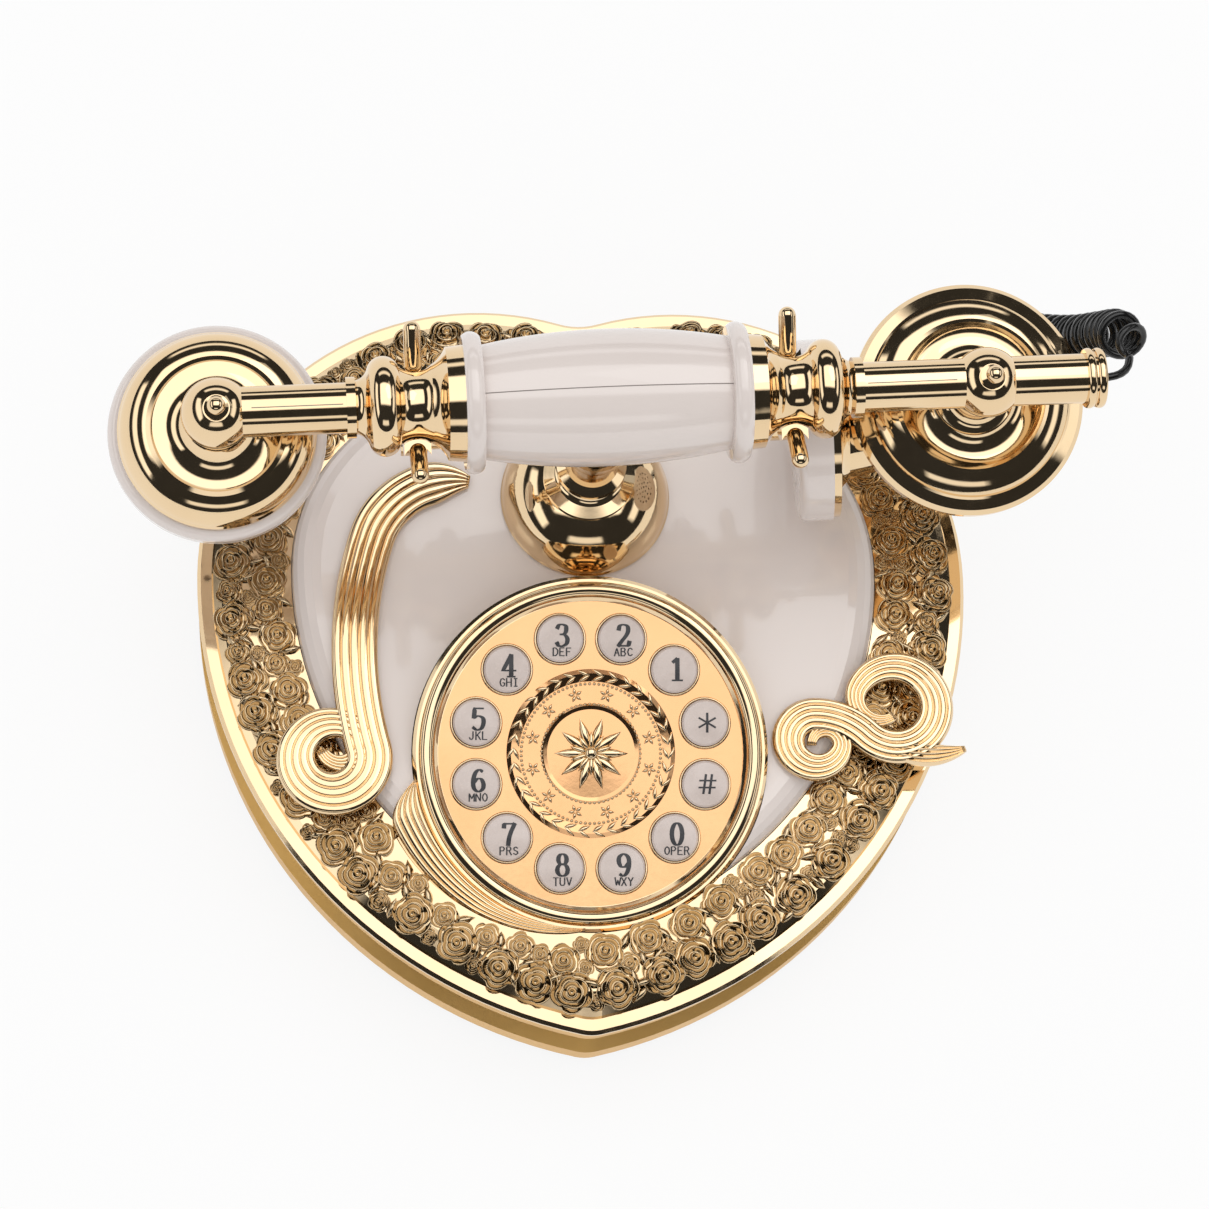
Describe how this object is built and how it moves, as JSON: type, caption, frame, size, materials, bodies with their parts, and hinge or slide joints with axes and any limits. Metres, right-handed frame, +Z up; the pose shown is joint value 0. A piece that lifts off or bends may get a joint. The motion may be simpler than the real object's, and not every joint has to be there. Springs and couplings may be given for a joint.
{
  "type": "french-style cradle phone",
  "caption": "Desk telephone on a heart-shaped base with a round push-button dial, a pedestal with forked cradle, and a bar handset with a trumpet mouthpiece on a curly cord.",
  "frame": {"origin": "bottom centre of the box round the phone without its cord", "axes": "+Z up, +X to the right of the person who dials, along the handset, +Y to the back"},
  "size_m": [0.277, 0.2138, 0.1436],
  "materials": {
    "plated_gold": "bright gold plating on moulded plastic",
    "satin_gold": "satin gold paint",
    "dial_gold": "warm gold print",
    "ivory": "glossy ivory",
    "pearl": "pearl lustre",
    "black_rubber": "matte",
    "steel": "plain",
    "black_plastic": "fine grain",
    "circuit_board": "varnish",
    "clear_plastic": "clear moulding",
    "cord_black": "glossy"
  },
  "bodies": {
    "base": {"base_moulding": "satin_gold", "bottom_plate": "black_plastic", "rubber_feet": "black_rubber", "bottom_screws": "steel", "rim_band": "plated_gold", "dome_shell": "ivory", "dial_bezel": "plated_gold", "dial_plate": "dial_gold", "dial_medallion": "dial_gold", "keypad_mat": "black_rubber", "keypad_board": "circuit_board", "keypad_screws": "steel", "left_ribbon": "plated_gold", "right_ribbon": "plated_gold", "pedestal": "plated_gold", "pedestal_screws": "steel", "hook_bracket": "steel", "hook_spring": "steel", "hook_switch": "black_plastic", "main_board": "circuit_board", "ballast_plate": "steel", "ringer": "black_plastic", "line_jack": "black_plastic", "cord_jack": "black_plastic", "cord_plug": "clear_plastic", "handset_cord": "cord_black"},
    "hook": {"cradle_bar": "plated_gold", "left_fork": "plated_gold", "right_fork": "plated_gold"},
    "handset": {"grip_front": "ivory", "grip_back": "ivory", "left_arm_front": "plated_gold", "left_arm_back": "plated_gold", "right_arm_front": "plated_gold", "right_arm_back": "plated_gold", "ball_finials": "plated_gold", "cord_gland": "plated_gold", "receiver_cap": "plated_gold", "receiver_cup": "ivory", "receiver_capsule": "black_plastic", "transmitter_bell": "plated_gold", "mouthpiece_elbow": "plated_gold", "mouthpiece_horn": "plated_gold", "mouthpiece_cap": "ivory", "microphone_capsule": "black_plastic"},
    "key_star": {"button_star": "pearl"},
    "key_1": {"button_1": "pearl"},
    "key_2": {"button_2": "pearl"},
    "key_3": {"button_3": "pearl"},
    "key_4": {"button_4": "pearl"},
    "key_5": {"button_5": "pearl"},
    "key_6": {"button_6": "pearl"},
    "key_7": {"button_7": "pearl"},
    "key_8": {"button_8": "pearl"},
    "key_9": {"button_9": "pearl"},
    "key_0": {"button_0": "pearl"},
    "key_hash": {"button_hash": "pearl"}
  },
  "joints": [
    {"name": "press_star", "type": "slide", "parent": "base", "child": "key_star", "axis": [0, 0.2419, -0.9703], "range_m": [0, 0.0015], "stiffness_N_per_m": 400},
    {"name": "press_1", "type": "slide", "parent": "base", "child": "key_1", "axis": [0, 0.2419, -0.9703], "range_m": [0, 0.0015], "stiffness_N_per_m": 400},
    {"name": "press_2", "type": "slide", "parent": "base", "child": "key_2", "axis": [0, 0.2419, -0.9703], "range_m": [0, 0.0015], "stiffness_N_per_m": 400},
    {"name": "press_3", "type": "slide", "parent": "base", "child": "key_3", "axis": [0, 0.2419, -0.9703], "range_m": [0, 0.0015], "stiffness_N_per_m": 400},
    {"name": "press_4", "type": "slide", "parent": "base", "child": "key_4", "axis": [0, 0.2419, -0.9703], "range_m": [0, 0.0015], "stiffness_N_per_m": 400},
    {"name": "press_5", "type": "slide", "parent": "base", "child": "key_5", "axis": [0, 0.2419, -0.9703], "range_m": [0, 0.0015], "stiffness_N_per_m": 400},
    {"name": "press_6", "type": "slide", "parent": "base", "child": "key_6", "axis": [0, 0.2419, -0.9703], "range_m": [0, 0.0015], "stiffness_N_per_m": 400},
    {"name": "press_7", "type": "slide", "parent": "base", "child": "key_7", "axis": [0, 0.2419, -0.9703], "range_m": [0, 0.0015], "stiffness_N_per_m": 400},
    {"name": "press_8", "type": "slide", "parent": "base", "child": "key_8", "axis": [0, 0.2419, -0.9703], "range_m": [0, 0.0015], "stiffness_N_per_m": 400},
    {"name": "press_9", "type": "slide", "parent": "base", "child": "key_9", "axis": [0, 0.2419, -0.9703], "range_m": [0, 0.0015], "stiffness_N_per_m": 400},
    {"name": "press_0", "type": "slide", "parent": "base", "child": "key_0", "axis": [0, 0.2419, -0.9703], "range_m": [0, 0.0015], "stiffness_N_per_m": 400},
    {"name": "press_hash", "type": "slide", "parent": "base", "child": "key_hash", "axis": [0, 0.2419, -0.9703], "range_m": [0, 0.0015], "stiffness_N_per_m": 400},
    {"name": "handset_lift", "type": "slide", "parent": "base", "child": "handset", "axis": [0, 0, 1], "range_m": [0, 0.12], "deforming": ["handset_cord"]},
    {"name": "hook_rise", "type": "slide", "parent": "base", "child": "hook", "axis": [0, 0, 1], "range_m": [0, 0.004], "deforming": ["hook_spring"]}
  ],
  "couplings": [
    {"joint": "hook_rise", "follows": "handset_lift", "ratio": 0.033333}
  ]
}
